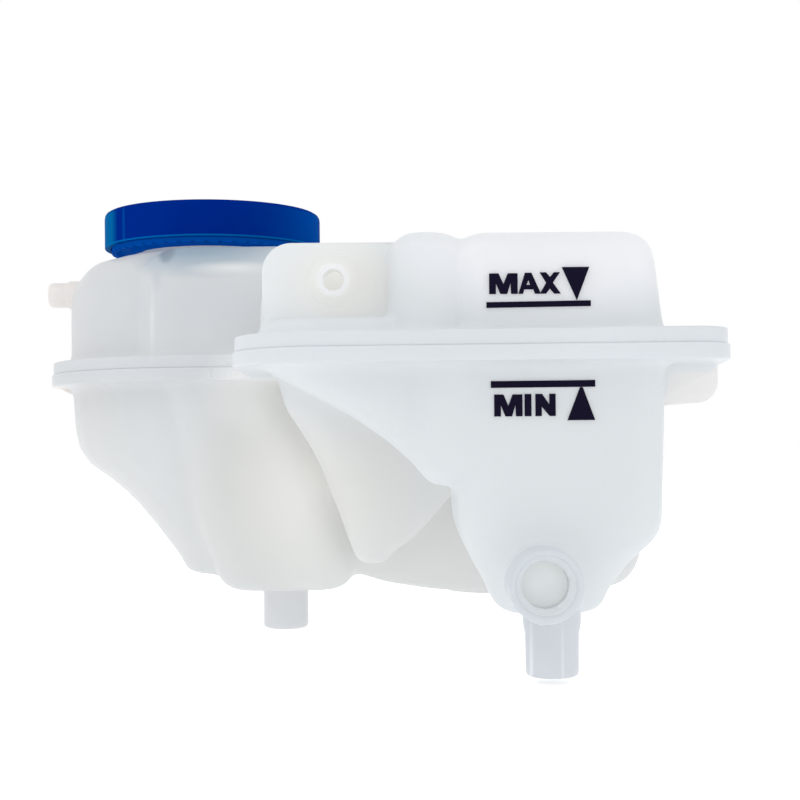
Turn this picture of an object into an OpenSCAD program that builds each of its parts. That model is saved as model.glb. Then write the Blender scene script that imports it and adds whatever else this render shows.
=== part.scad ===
// Coolant expansion tank: two moulded shells of many chambers, welded at a flat flange,
// with a turn-off pressure cap. Lengths in millimetres, +Z up.
// The sections below are drawn on the weld plane (z = 0) and the whole tank is moved once,
// so that the origin is the centre of the hole in the mounting tab.

/* [Shells] */
// Wall thickness of both shells
wall = 2.6; // [2:0.1:3]
// Thickness of each shell's half of the welded flange
flange_t = 4.6; // [3:0.1:6]
// How far the upper half of the flange stands back from the lower one
flange_step = 0.7; // [0.3:0.1:1.5]
// Radius of the hollow corners of the flange's outline
flange_fillet = 14; // [6:1:18]
// Height of the front chambers above the weld plane
front_h = 35.4; // [32:0.2:38]
// Height of the low step that the mounting tab stands on
step_h = 9.6; // [8:0.2:12]
// Height of the chamber that joins front and rear
link_h = 30; // [26:1:34]
// Height of the rear right chamber
rear_h = 40; // [36:1:44]
// Depth of the chamber under the drum
drum_depth = 78.4; // [76:0.2:80]
// Depth of the pouch over the return spigot
pouch_depth = 83.8; // [80:0.2:88]
// Depth of the rear right chamber
rear_depth = 88; // [84:0.5:92]
// Depth of the middle chamber
middle_depth = 71; // [68:0.5:74]
// Depth of the sloping chamber under the mounting tab
slope_depth = 41.6; // [38:0.2:46]
// Depth of the main front chamber
front_depth = 81; // [78:0.5:84]

/* [Drum and filler neck] */
// Distance of the filler neck's axis to the left of the datum
neck_x = 76.2; // [74:0.2:80]
// Outer radius of the round drum under the cap
drum_r = 56.9; // [55:0.1:58.5]
// Height of the drum's roof above the weld plane
drum_h = 48.6; // [47:0.2:49.4]
// Radius of the drum's shoulder
shoulder_r = 23; // [14:0.5:24]
// How far the flange stands out round the drum
drum_flange = 7.8; // [6:0.2:9]
// Height of the filler neck above the drum's roof
neck_h = 10.4; // [10:0.2:12]
// Bore radius of the filler neck
neck_bore_r = 24; // [23.5:0.5:24.5]
// Wall of the filler neck under its thread
neck_wall = 4; // [3:0.5:4.5]

/* [Mounting tab] */
// Width of the tab
tab_w = 41; // [36:1:44]
// Height of the tab's top edge above the weld plane
tab_top = 33.4; // [31:0.2:35]
// Thickness of the tab
tab_t = 3; // [2.5:0.1:4]
// Radius of the tab's free upper corner
tab_corner_r = 9; // [5:0.5:11]
// Radius of the screw hole
tab_hole_r = 3.35; // [2.8:0.05:3.8]
// Outer radius of the boss round the screw hole
tab_boss_r = 5.9; // [5:0.1:7]
// Length of the boss, along the screw
tab_boss_l = 8.5; // [6:0.5:10]

/* [Hose spigots] */
// Outer radius of the front outlet spigot
outlet_r = 7.8; // [7:0.1:8.5]
// Bore radius of the front outlet spigot
outlet_bore_r = 5.4; // [4.5:0.1:5.8]
// Outer radius of the rear spigot
return_r = 8.7; // [8:0.1:9.5]
// Bore radius of the rear spigot
return_bore_r = 6.2; // [5:0.1:6.8]
// Depth of the front spigot's free end below the weld plane
outlet_end = 98; // [96:0.5:106]
// Depth of the rear spigot's free end below the weld plane
return_end = 100; // [98:0.5:106]
// Outer radius of the bleed nipple on the drum
nipple_r = 5.1; // [4.6:0.1:5.6]
// Bore radius of the bleed nipple
nipple_bore_r = 2.8; // [2:0.1:3.2]
// Height of the nipple's axis below the drum's roof
nipple_drop = 15.1; // [13:0.1:18]
// How far the nipple's end stands out from the drum's wall
nipple_l = 10; // [8:0.5:14]

/* [Outlet elbow] */
// Outer radius of the elbow's round boss
elbow_r = 10.85; // [10:0.05:11.5]
// Radius of the recess in the boss's face
elbow_recess_r = 8.6; // [8:0.1:9]
// Bore radius of the elbow, closed by the welded disc
elbow_bore_r = 6.9; // [6:0.1:7.2]
// How far the boss stands out of the front wall
elbow_l = 17; // [15:0.5:20]
// Depth of the closing disc's face behind the boss's rim
plug_depth = 9; // [7:0.5:10]
// Thickness of the closing disc
plug_t = 2.4; // [2:0.1:3]

/* [Cap] */
// Outer radius of the cap
cap_r = 43.5; // [42:0.5:46]
// Height of the cap's skirt
cap_h = 14.2; // [13:0.2:16]
// Gap between the drum's roof and the cap's skirt
cap_gap = 2.4; // [1.8:0.1:3.5]
// Wall thickness of the cap's cover
cap_wall = 2.4; // [2:0.1:3]
// Radius of the cap's top edge
cap_edge_r = 3.2; // [2:0.1:4]
// Height of the grip bar above the cap's top
grip_h = 3; // [2:0.2:3.4]
// Length of the grip bar
grip_l = 58; // [48:1:62]
// Width of the grip bar
grip_w = 11; // [8:0.5:14]
// Teeth round the lower edge of the threaded ring
ring_teeth = 48; // [36:1:60]
// Ribs between the threaded ring and the cover
ring_ribs = 12; // [8:1:16]
// Depth of the thread, left between the neck and the ring
thread_depth = 2.4; // [2:0.1:2.8]

/* [Valves] */
// Outer radius of the valve housing that hangs in the neck
housing_r = 22.5; // [21:0.1:23]
// Wall thickness of the valve housing
housing_wall = 3.2; // [2.8:0.1:3.6]
// Height of the valve housing's lower face above the weld plane
housing_bottom = 31; // [28:0.5:34]
// Section radius of the housing's O-ring
o_ring_r = 1.7; // [1.4:0.1:2]
// Radius of the passage through the valve seat
seat_bore_r = 11; // [10:0.5:12]
// Radius of the pressure valve's plate
plate_r = 15.4; // [14.5:0.1:16]
// Mean radius of the pressure spring
spring_r = 12.4; // [11.5:0.1:13]
// Wire radius of the pressure spring
spring_wire_r = 0.9; // [0.7:0.05:1.1]
// Turns of the pressure spring
spring_turns = 4; // [3:1:5]
// Stem radius of the vacuum valve
stem_r = 2.2; // [1.8:0.1:2.6]
// Head radius of the vacuum valve
vacuum_r = 7.4; // [6.5:0.1:8]
// Mean radius of the vacuum spring
vacuum_spring_r = 3.6; // [3.2:0.1:4]
// Wire radius of the vacuum spring
vacuum_wire_r = 0.35; // [0.25:0.05:0.45]
// Turns of the vacuum spring
vacuum_turns = 4; // [3:1:5]

/* [Hidden] */

// Running gap between pieces that move past each other
clear = 0.3;
// Gap of a seal in its bore
seal_gap = 0.08;
// How far a cut runs past the face that it opens
over = 1;
// Points on each corner of a chamber's section, and rings in each rounded end
corner_n = 7;
dome_n = 4;

// Places on the weld plane, from the datum: X to the right, Y towards the back
front_y = -160;
tab_y = -145;
tab_left = -42.5;
tab_hole = [-20.5, 21.8];
outlet_at = [44.2, -160];
elbow_at = [41.2, -70];
return_at = [-46, -22];

// The origin is the middle of the tab's hole, on its front face
origin = [-tab_hole[0], -tab_y, -tab_hole[1]];

shell_color = [0.93, 0.94, 0.94];
cap_color = [0.0, 0.17, 0.55];
seal_color = [0.09, 0.09, 0.1];
steel_color = [0.72, 0.73, 0.75];

nipple_z = drum_h - nipple_drop;
nipple_root = 12;
cap_z = drum_h + cap_gap;
cap_top = cap_z + cap_h;
neck_top = drum_h + neck_h;
neck_r = neck_bore_r + neck_wall;
ring_bore = neck_r + thread_depth;
ring_wall = 2.4;
gasket_t = 1.2;
flange_z = neck_top + gasket_t;
housing_flange_t = 1.5;
housing_flange_r = ring_bore + ring_wall / 2;
cover_under = flange_z + housing_flange_t + clear;
cover_in = cap_r - cap_wall;
ring_bottom = drum_h + 0.5;

housing_in = housing_r - housing_wall;
seat_t = 2.6;
seat_z = housing_bottom + seat_t;
seal_t = 1.5;
plate_z = seat_z + seal_t;
plate_t = 2;
hub_h = 1.4;
spring_top = neck_top - 4.6;
seat_plate_t = 2.2;
snap_t = 1.2;
groove_z = [neck_top - 5.4, neck_top - 11];
groove_r = neck_bore_r - seal_gap - o_ring_r;
vacuum_seal_t = 1.3;
head_t = 1.4;
clip_z = plate_z + 10;
clip_t = 1;

// A chamber is [[left, right, front, back], end, end radius, corner radius, steps]. The box is
// its outline on the weld plane, end its height or depth. Each step is [share of the way to the
// rounded end, inset left, right, front and back, corner radius].

function box_of(c, d, z, l, r, f, b, cr) =
    [z, c[0][0] + l + d, c[0][1] - r - d, c[0][2] + f + d, c[0][3] - b - d, max(cr - d, 1.5)];

// Sections of a chamber from the weld plane to its end. s is 1 above the plane and -1 below it.
// With d = 0 they are the outside, and with d = wall the hollow inside, where a section that
// isn't the last is also moved towards the plane, so that a sloping wall keeps its thickness.
function sections(c, s, d) =
    let (
        span = c[1] - c[2],
        er = max(c[2] - d, 0.4),
        last = c[4][len(c[4]) - 1],
        end_z = s * (c[1] - d - er)
    )
    concat(
        [box_of(c, d, d > 0 ? -s * over : 0, 0, 0, 0, 0, c[3])],
        [for (i = [0:1:len(c[4]) - 2])
            let (k = c[4][i])
            box_of(c, d, s * (k[0] * span - d), k[1], k[2], k[3], k[4], k[5])],
        [for (i = [0:dome_n])
            let (a = 90 * i / dome_n, in = er * (1 - cos(a)))
            box_of(c, d + in, end_z + s * er * sin(a), last[1], last[2], last[3], last[4], last[5])]
    );

// Points of one section: a rectangle with round corners
function outline(k) =
    let (r = min(k[5], (k[2] - k[1]) / 2 - 0.05, (k[4] - k[3]) / 2 - 0.05))
    [for (c = [0:3], i = [0:corner_n - 1])
        let (
            a = 90 * (c + i / (corner_n - 1)),
            cx = (c == 0 || c == 3) ? k[2] - r : k[1] + r,
            cy = c < 2 ? k[4] - r : k[3] + r
        )
        [cx + r * cos(a), cy + r * sin(a), k[0]]];

// Closed skin over a stack of rings of n points each
module skin(rings) {
    n = len(rings[0]);
    last = len(rings) - 1;
    polyhedron(
        points = [for (r = rings) each r],
        faces = concat(
            [[for (j = [0:n - 1]) j]],
            [for (i = [0:last - 1], j = [0:n - 1])
                let (a = i * n + j, b = i * n + (j + 1) % n)
                [a, a + n, b + n, b]],
            [[for (j = [n - 1:-1:0]) last * n + j]]
        ),
        convexity = 6
    );
}

module chamber(c, s, d) {
    keys = sections(c, s, d);
    last = len(keys) - 1;
    skin([for (i = [0:last]) outline(keys[s > 0 ? i : last - i])]);
}

upper_chambers = [
    // beside the drum, its front wall standing forward of the drum's
    [[-99, -14, -60.5, 52], drum_h, 17, 13, [[1, 0.6, 0.6, 0.8, 1.2, 13]]],
    // rear right
    [[-26, 97, -50, 58], rear_h, 13, 20, [[1, 0.8, 1.4, 1, 1, 20]]],
    // link between rear and front
    [[-47, 86, -124, -30], link_h, 12, 15, [[1, 0.4, 0.9, 0.6, 0.6, 15]]],
    // main front chamber, with the level marks
    [[15.4, 80.6, front_y, -92], front_h, 9.5, 10, [[1, 0, 3, 0.6, 0.8, 10]]],
    // half-round rib beside it
    [[-3.8, 19.8, front_y, -100], front_h, 6.8, 10.5, [[1, 0.4, 0.2, 0.6, 0.8, 10.5]]],
    // low step under the mounting tab
    [[-44.2, 8, -157.5, -104], step_h, 3.6, 16, [[1, 0.2, 0, 0.2, 0.2, 16]]]
];

lower_chambers = [
    // under the drum: round at the flange, drawn in to the right below
    [[-neck_x - drum_r, -neck_x + drum_r, -drum_r, drum_r], drum_depth, 5, drum_r,
        [[0.286, 1.3, 1.6, 1.1, 1, drum_r - 2],
         [0.395, 3, 2, 2, 2, drum_r - 4],
         [0.49, 8.8, 3, 3.4, 3.4, drum_r - 9],
         [0.572, 17.9, 4, 5, 4.8, 44],
         [0.668, 25.9, 5, 6.8, 6, 41],
         [0.797, 34.1, 6, 9.6, 8, 37],
         [0.92, 41.2, 7, 12.6, 10, 32],
         [1, 46, 9, 15.4, 13, 26]]],
    // pouch in front of it, over the return spigot, leaning to the right
    [[-92, -46, -60.5, 40], pouch_depth, 10, 12,
        [[0.163, 3.6, -2.4, 0.6, 0, 12],
         [0.38, 7.6, -11, 1.4, 0, 13],
         [0.61, 11.4, -18.6, 2.6, 0, 14],
         [0.786, 14.6, -23.2, 4, 0, 15],
         [0.908, 17.4, -26, 5.2, 0, 15],
         [1, 20.6, -28.4, 6.4, 0, 15]]],
    // rear right
    [[-40, 97, -48, 58], rear_depth, 1.2, 20,
        [[0.69, 4, 1.6, 4, 3, 20],
         [0.83, 9, 3.4, 6, 5, 20],
         [0.9, 19, 5.2, 8.4, 8, 20],
         [0.95, 31, 7.4, 12, 12, 22],
         [0.985, 46, 11.4, 19, 18, 20],
         [1, 57, 16.4, 26, 24, 18]]],
    // middle, its floor rising to the right
    [[-44, 60, -108, 0], middle_depth, 3.6, 14,
        [[0.237, 4, 10, 3, 0, 14],
         [0.415, 11.5, 20, 8, 0, 15],
         [0.534, 15.4, 32, 11, 0, 16],
         [0.682, 19, 41.6, 15, 4, 17],
         [0.831, 22.6, 50, 19, 8, 17],
         [0.935, 25, 57, 22.4, 10, 14],
         [1, 27, 64, 26, 14, 10]]],
    // sloping floor under the mounting tab
    [[-45, 34, -157.5, -96], slope_depth, 3, 14,
        [[0.155, 3.4, 0, 0.3, 0, 13],
         [0.337, 16.4, 0, 0.7, 2, 12],
         [0.518, 29.6, 0, 1.1, 4, 11],
         [0.71, 40.2, 0, 1.5, 6, 10],
         [0.896, 48.2, 0, 1.9, 8, 9],
         [1, 52.4, 0, 2.3, 10, 8]]],
    // half-round rib on its face
    [[0.6, 26, front_y - 0.6, -120], slope_depth - 1.8, 5.4, 9,
        [[0.523, 1.6, 0, 0.4, 0, 9], [1, 3.8, 0, 1, 0, 9]]],
    // main front chamber, narrower at the foot over the outlet
    [[16.2, 80.6, front_y, -92], front_depth, 7, 10,
        [[0.405, 0, 0.8, 0.4, 0, 10],
         [0.69, 0.4, 1.2, 0.8, 0, 10],
         [0.755, 1.4, 2, 1, 2, 10],
         [0.803, 2.8, 4.2, 1.2, 4, 11],
         [0.838, 4, 7.4, 1.4, 6, 12],
         [0.886, 5.8, 11.2, 1.6, 8, 13],
         [0.94, 8, 13.8, 2, 10, 14],
         [1, 10.6, 17.4, 2.6, 12, 14]]]
];

module disc_at(x, y, r) {
    translate([x, y]) circle(r, $fn = 64);
}

// Outline of the weld flange, standing out by d from the lower half's edge
module flange_plan(d) {
    offset(r = -flange_fillet, $fn = 40) offset(r = flange_fillet + d, $fn = 40) {
        disc_at(-neck_x, 0, drum_r + drum_flange);
        hull() {
            disc_at(-21.8, -136.8, 30.8);
            disc_at(85.2, -159.6, 12.6);
            disc_at(84, 42, 24);
            disc_at(-30, 20, 25);
        }
        hull() {
            disc_at(85.2, -159.6, 12.6);
            disc_at(88.4, -136, 12);
        }
    }
}

// Half of a drum's section: a square with one round corner of radius c
module drum_section(r, h, c) {
    square([r - c, h]);
    square([r, h - c]);
    translate([r - c, h - c]) intersection() {
        circle(c, $fn = 96);
        square(c + over);
    }
}

module drum(d) {
    translate([-neck_x, 0, d > 0 ? -over : 0]) rotate_extrude($fn = 96)
        drum_section(drum_r - d, drum_h - d + (d > 0 ? over : 0), shoulder_r - d);
}

// Solid round spigot along +Z with a rounded rim and, at its root, a hose stop of length stop
module spigot(r, l, rim, stop = 0) {
    rotate_extrude($fn = 64) {
        if (stop > 0) square([r + 0.5, stop]);
        square([r, l - rim]);
        square([r - rim, l]);
        translate([r - rim, l - rim]) circle(rim, $fn = 32);
    }
}

// Tab plate with its free corner rounded, standing on the step
module tab_plate() {
    h = tab_top - step_h + wall;
    translate([tab_left, tab_y + tab_t, step_h - wall]) rotate([90, 0, 0])
        linear_extrude(tab_t) {
            square([tab_w, h - tab_corner_r]);
            translate([tab_corner_r, 0]) square([tab_w - tab_corner_r, h]);
            translate([tab_corner_r, h - tab_corner_r]) circle(tab_corner_r, $fn = 64);
        }
}

// Two webs that brace the tab against the link chamber
module tab_ribs() {
    back = upper_chambers[2][0][2] - tab_y + 2;
    for (x = [8.5, tab_w - 6.5])
        translate([tab_left + x - 1.2, tab_y + tab_t / 2, 0]) rotate([90, 0, 90])
            linear_extrude(2.4) polygon([
                [0, step_h - wall], [back, step_h - wall], [back, link_h - 13], [0, tab_top - 6]
            ]);
}

module tab_boss() {
    translate([tab_hole[0], tab_y, tab_hole[1]]) rotate([-90, 0, 0]) {
        translate([0, 0, -1.2]) cylinder(r = tab_boss_r, h = tab_boss_l, $fn = 64);
        translate([0, 0, -0.4]) cylinder(r = tab_boss_r + 2.6, h = 2, $fn = 64);
    }
}

// Upper moulding: roofs of the chambers, filler neck, bleed nipple and mounting tab
module upper_shell() {
    color(shell_color) translate(origin) difference() {
        union() {
            drum(0);
            for (c = upper_chambers) chamber(c, 1, 0);
            linear_extrude(flange_t) flange_plan(-flange_step);
            translate([-neck_x, 0, drum_h - wall])
                cylinder(r = neck_r, h = neck_h + wall, $fn = 96);
            translate([-neck_x, 0, drum_h - wall])
                cylinder(r = ring_bore + 3, h = wall + 0.3, $fn = 96);
            translate([-neck_x - drum_r + nipple_root, 0, nipple_z]) rotate([0, -90, 0])
                spigot(nipple_r, nipple_l + nipple_root, 1, nipple_root + 1.6);
            tab_plate();
            tab_ribs();
            tab_boss();
        }
        drum(wall);
        for (c = upper_chambers) chamber(c, 1, wall);
        translate([-neck_x, 0, drum_h - 2 * wall])
            cylinder(r = neck_bore_r, h = neck_h + 2 * wall + over, $fn = 96);
        translate([-neck_x - drum_r - nipple_l - over, 0, nipple_z]) rotate([0, 90, 0])
            cylinder(r = nipple_bore_r, h = nipple_l + nipple_root + over, $fn = 48);
        translate([tab_hole[0], tab_y - 2, tab_hole[1]]) rotate([-90, 0, 0])
            cylinder(r = tab_hole_r, h = tab_boss_l + 3, $fn = 64);
    }
}

// Lower moulding: pouches of the chambers, both hose spigots, outlet elbow and lugs
module lower_shell() {
    color(shell_color) translate(origin) difference() {
        union() {
            for (c = lower_chambers) chamber(c, -1, 0);
            translate([0, 0, -flange_t]) linear_extrude(flange_t) flange_plan(0);
            translate([return_at[0], return_at[1], -pouch_depth + wall]) mirror([0, 0, 1])
                spigot(return_r, return_end - pouch_depth + wall, 1.2);
            translate([outlet_at[0], outlet_at[1], elbow_at[1]]) mirror([0, 0, 1])
                spigot(outlet_r, outlet_end + elbow_at[1], 1.2, front_depth + 2 + elbow_at[1]);
            translate([elbow_at[0], front_y + 2 * wall, elbow_at[1]]) rotate([90, 0, 0])
                spigot(elbow_r, elbow_l + 2 * wall, 0.8);
            side_lug();
            drum_lug();
        }
        for (c = lower_chambers) chamber(c, -1, wall);
        translate([return_at[0], return_at[1], -return_end - over])
            cylinder(r = return_bore_r, h = return_end - pouch_depth + 2 * wall + over, $fn = 64);
        translate([outlet_at[0], outlet_at[1], -outlet_end - over])
            cylinder(r = outlet_bore_r, h = outlet_end + elbow_at[1] + over, $fn = 64);
        translate([elbow_at[0], front_y - elbow_l - over, elbow_at[1]]) rotate([-90, 0, 0]) {
            cylinder(r = elbow_bore_r, h = elbow_l + 3 * wall + over, $fn = 64);
            cylinder(r = elbow_recess_r, h = plug_depth - 3 + over, $fn = 64);
        }
    }
}

// Hanging lug with a rounded free corner, under the right end of the flange
module side_lug() {
    translate([78, -134, -flange_t]) rotate([90, 0, 0]) linear_extrude(3) {
        polygon([[0, over], [21.4, over], [21.4, -5.6], [14.6, -11.8], [0, -13]]);
        translate([14.6, -5.4]) circle(6.8, $fn = 48);
    }
}

// Quarter-round web under the flange at the far left
module drum_lug() {
    translate([-neck_x - drum_r, 1.5, 0]) rotate([90, 0, 0]) linear_extrude(3)
        intersection() {
            translate([-10, -10]) square([11.5, 10 - over]);
            translate([0.4, 1.4]) circle(drum_flange + 1.2, $fn = 64);
        }
}

// Disc welded into the elbow, which closes the hole that its bore was cored through
module outlet_disc() {
    color([0.92, 0.93, 0.9]) translate(origin)
        translate([elbow_at[0], front_y - elbow_l + plug_depth, elbow_at[1]]) rotate([-90, 0, 0])
            cylinder(r = elbow_bore_r, h = plug_t, $fn = 64);
}

module at_neck(z) {
    translate(origin) translate([-neck_x, 0, z]) children();
}

// Washer or disc with a hole through it
module washer(r, bore, h) {
    difference() {
        cylinder(r = r, h = h, $fn = 96);
        translate([0, 0, -over]) cylinder(r = bore, h = h + 2 * over, $fn = 96);
    }
}

// Cover: a smooth skirt, a thin top and a raised grip bar
module cap_cover() {
    color(cap_color) at_neck(cap_z) difference() {
        union() {
            rotate_extrude($fn = 128) drum_section(cap_r, cap_h, cap_edge_r);
            grip_bar();
        }
        translate([0, 0, -over])
            cylinder(r = cover_in, h = cover_under - cap_z + over, $fn = 128);
        translate([0, 0, -over])
            cylinder(r1 = cap_r - 0.4, r2 = cover_in - 0.4, h = cap_wall + over, $fn = 128);
    }
}

module grip_bar() {
    hull() for (x = [-1, 1]) {
        translate([x * (grip_l - grip_w) / 2, 0, cap_h - over])
            cylinder(d = grip_w, h = over + 0.5, $fn = 32);
        translate([x * (grip_l / 2 - grip_w), 0, cap_h])
            cylinder(d = grip_w - 3, h = grip_h, $fn = 32);
    }
}

// Ring with the thread, held in the cover by its ribs. Its smooth rim shows under the skirt and
// has small notches in its lower edge.
module threaded_ring() {
    rim_r = cover_in - 0.4;
    rim_h = 3.4;
    notch_h = 0.7;
    rib_x = ring_bore + ring_wall - 0.6;
    rib_z = ring_bottom + 2;
    color([0.02, 0.1, 0.36]) at_neck(0) {
        difference() {
            rotate_extrude($fn = 128) {
                translate([ring_bore, ring_bottom])
                    square([ring_wall, flange_z - clear - ring_bottom]);
                translate([ring_bore + 1, ring_bottom + rim_h / 2])
                    square([rim_r - ring_bore - 2, rim_h / 2]);
                translate([rim_r - 2, ring_bottom]) square([2, rim_h]);
            }
            for (i = [0.5:ring_teeth]) rotate(i * 360 / ring_teeth)
                translate([rim_r - 3, -0.9, ring_bottom - over]) cube([6, 1.8, over + notch_h]);
        }
        for (i = [0.5:ring_ribs]) rotate(i * 360 / ring_ribs + 1.2)
            translate([rib_x, -0.8, rib_z]) cube([cover_in - 0.1 - rib_x, 1.6, cover_under - rib_z]);
    }
}

// Flat sealing ring between the neck's rim and the valve housing
module neck_gasket() {
    color(seal_color) at_neck(neck_top) washer(neck_r, neck_bore_r + 0.4, gasket_t);
}

// Cup that hangs in the neck, with the seat of the pressure valve in its floor
module valve_housing() {
    color([0.13, 0.14, 0.16]) at_neck(0) difference() {
        rotate_extrude($fn = 96) {
            translate([housing_in, housing_bottom])
                square([housing_wall, flange_z - housing_bottom]);
            translate([seat_bore_r, housing_bottom])
                square([housing_in - seat_bore_r + 0.5, seat_t]);
            translate([housing_in, flange_z])
                square([housing_flange_r - housing_in, housing_flange_t]);
        }
        for (z = groove_z) rotate_extrude($fn = 96) {
            translate([groove_r, z]) circle(o_ring_r, $fn = 48);
            translate([groove_r, z - o_ring_r]) square([4, 2 * o_ring_r]);
        }
        translate([0, 0, spring_top + seat_plate_t])
            cylinder(r = housing_in + 1, h = snap_t, $fn = 96);
    }
}

// Rings that seal the housing in the neck, one over the other
module o_ring(z) {
    color(seal_color) at_neck(z) rotate_extrude($fn = 96)
        translate([groove_r, 0]) circle(o_ring_r, $fn = 48);
}

// Plate that the pressure spring bears on, with vents round its centre hole
module spring_seat() {
    bore = 6;
    color(steel_color) at_neck(spring_top) difference() {
        washer(housing_in, bore, seat_plate_t);
        for (i = [0:5]) rotate(i * 60) translate([(bore + spring_r) / 2, 0, -over])
            cylinder(r = 1.6, h = seat_plate_t + 2 * over, $fn = 32);
    }
}

// Split ring that holds the spring seat down in the housing
module snap_ring() {
    color(steel_color) at_neck(spring_top + seat_plate_t) rotate(8)
        rotate_extrude(angle = 344, $fn = 96)
            translate([housing_in - 1.6, 0]) square([2.5, snap_t]);
}

// Pressure valve: a plate with a raised hub that guides the vacuum valve's stem
module pressure_plate() {
    bore = stem_r + clear;
    color(steel_color) at_neck(plate_z) difference() {
        rotate_extrude($fn = 96) {
            translate([bore, 0]) square([plate_r - bore, plate_t]);
            translate([bore, 0]) square([2.6, plate_t + hub_h]);
            translate([plate_r - 1.4, 0]) square([1.4, plate_t + 1.2]);
        }
        for (i = [0:5]) rotate(i * 60) translate([(bore + vacuum_r) / 2 + 0.6, 0, -over])
            cylinder(r = 0.6, h = plate_t + hub_h + 2 * over, $fn = 32);
    }
}

module pressure_seal() {
    color(seal_color) at_neck(seat_z) washer(plate_r - 0.4, seat_bore_r - 0.6, seal_t);
}

// Points of a wire wound into a spring of height h, with a close turn at each end
function coil(mean_r, wire_r, h, turns, steps, sides) =
    let (close = 2.3 * wire_r, free = h - 2 * wire_r - 2 * close)
    [for (i = [0:(turns + 2) * steps])
        let (
            t = i / steps,
            z = wire_r + close * (min(t, 1) + max(t - turns - 1, 0))
                + free * min(max((t - 1) / turns, 0), 1)
        )
        [for (j = [0:sides - 1])
            let (b = 360 * j / sides, q = mean_r + wire_r * cos(b))
            [q * cos(360 * t), q * sin(360 * t), z + wire_r * sin(b)]]];

module pressure_spring() {
    z = plate_z + plate_t;
    color(steel_color) at_neck(z)
        skin(coil(spring_r, spring_wire_r, spring_top - z, spring_turns, 14, 6));
}

// Vacuum valve: a head under the pressure plate on a stem that passes up through it
module vacuum_valve() {
    head_z = plate_z - vacuum_seal_t - head_t;
    top = clip_z + clip_t;
    color([0.8, 0.65, 0.35]) at_neck(0) rotate_extrude($fn = 64) {
        translate([0, head_z]) square([vacuum_r, head_t]);
        translate([0, head_z]) square([stem_r, top - head_z + 0.9]);
        translate([0, top]) square([stem_r + 0.4, 0.9]);
    }
}

module vacuum_seal() {
    color(seal_color) at_neck(plate_z - vacuum_seal_t)
        washer(vacuum_r - 0.4, stem_r, vacuum_seal_t);
}

module vacuum_spring() {
    z = plate_z + plate_t + hub_h;
    color(steel_color) at_neck(z)
        skin(coil(vacuum_spring_r, vacuum_wire_r, clip_z - z, vacuum_turns, 12, 5));
}

module vacuum_clip() {
    color(steel_color) at_neck(clip_z) washer(vacuum_spring_r + 1.2, stem_r, clip_t);
}

upper_shell();
lower_shell();
outlet_disc();
cap_cover();
threaded_ring();
neck_gasket();
valve_housing();
o_ring(groove_z[0]);  // housing_o_ring
o_ring(groove_z[1]);  // lower_o_ring
spring_seat();
snap_ring();
pressure_plate();
pressure_seal();
pressure_spring();
vacuum_valve();
vacuum_seal();
vacuum_spring();
vacuum_clip();
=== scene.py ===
"""Coolant expansion tank of milky plastic with a blue pressure cap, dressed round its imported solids."""

import math

import bmesh
import bpy
from mathutils import Matrix, Vector


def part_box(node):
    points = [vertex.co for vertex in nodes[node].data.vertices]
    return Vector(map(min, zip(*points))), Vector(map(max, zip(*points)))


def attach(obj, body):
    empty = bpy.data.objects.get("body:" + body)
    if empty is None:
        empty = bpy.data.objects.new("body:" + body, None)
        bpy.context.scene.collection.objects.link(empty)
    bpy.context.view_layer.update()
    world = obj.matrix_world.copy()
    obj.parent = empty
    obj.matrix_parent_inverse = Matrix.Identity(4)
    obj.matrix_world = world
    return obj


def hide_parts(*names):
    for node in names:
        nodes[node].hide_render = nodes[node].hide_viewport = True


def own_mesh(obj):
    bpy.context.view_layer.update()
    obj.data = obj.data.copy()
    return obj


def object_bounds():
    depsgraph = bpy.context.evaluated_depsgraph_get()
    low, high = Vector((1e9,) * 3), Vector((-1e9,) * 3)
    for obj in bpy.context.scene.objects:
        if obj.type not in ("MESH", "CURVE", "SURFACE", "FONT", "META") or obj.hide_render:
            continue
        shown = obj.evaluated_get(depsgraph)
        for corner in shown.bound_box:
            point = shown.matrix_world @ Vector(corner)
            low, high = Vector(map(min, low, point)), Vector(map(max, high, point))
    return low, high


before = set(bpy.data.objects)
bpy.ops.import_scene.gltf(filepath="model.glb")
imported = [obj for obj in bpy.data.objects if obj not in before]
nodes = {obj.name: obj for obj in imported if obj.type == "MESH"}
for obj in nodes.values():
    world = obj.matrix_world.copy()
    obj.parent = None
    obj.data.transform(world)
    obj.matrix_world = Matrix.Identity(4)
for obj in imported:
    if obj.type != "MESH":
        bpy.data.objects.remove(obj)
cad_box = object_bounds()
scene = bpy.context.scene


# The camera stands level in front of the tank, a little under the weld flange, and is rolled by
# half a degree, as the photograph is. The shifts put the tank where it is in the photograph.
lens = bpy.data.cameras.new("camera")
lens.lens = 64.35
lens.sensor_width = 36
lens.shift_x = -0.0019
lens.shift_y = 0.05875
lens.clip_start = 0.01
lens.dof.use_dof = False
camera = bpy.data.objects.new("camera", lens)
scene.collection.objects.link(camera)
camera_place = (0.0205, -0.440, -0.0515)
camera_roll = math.radians(-0.516)
camera.matrix_world = (
    Matrix.Translation(camera_place)
    @ Matrix.Rotation(math.radians(90), 4, "X")
    @ Matrix.Rotation(camera_roll, 4, "Z")
)
scene.camera = camera


# The light is that of a white tent: an even white sky, a broad soft lamp above on the left and a
# weaker one low on the right.
scene.view_settings.view_transform = "Standard"
tent = bpy.data.worlds.new("tent")
scene.world = tent
tent.use_nodes = True
sky = tent.node_tree.nodes["Background"]
sky.inputs["Color"].default_value = (1, 1, 1, 1)
sky.inputs["Strength"].default_value = 1.0


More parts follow.
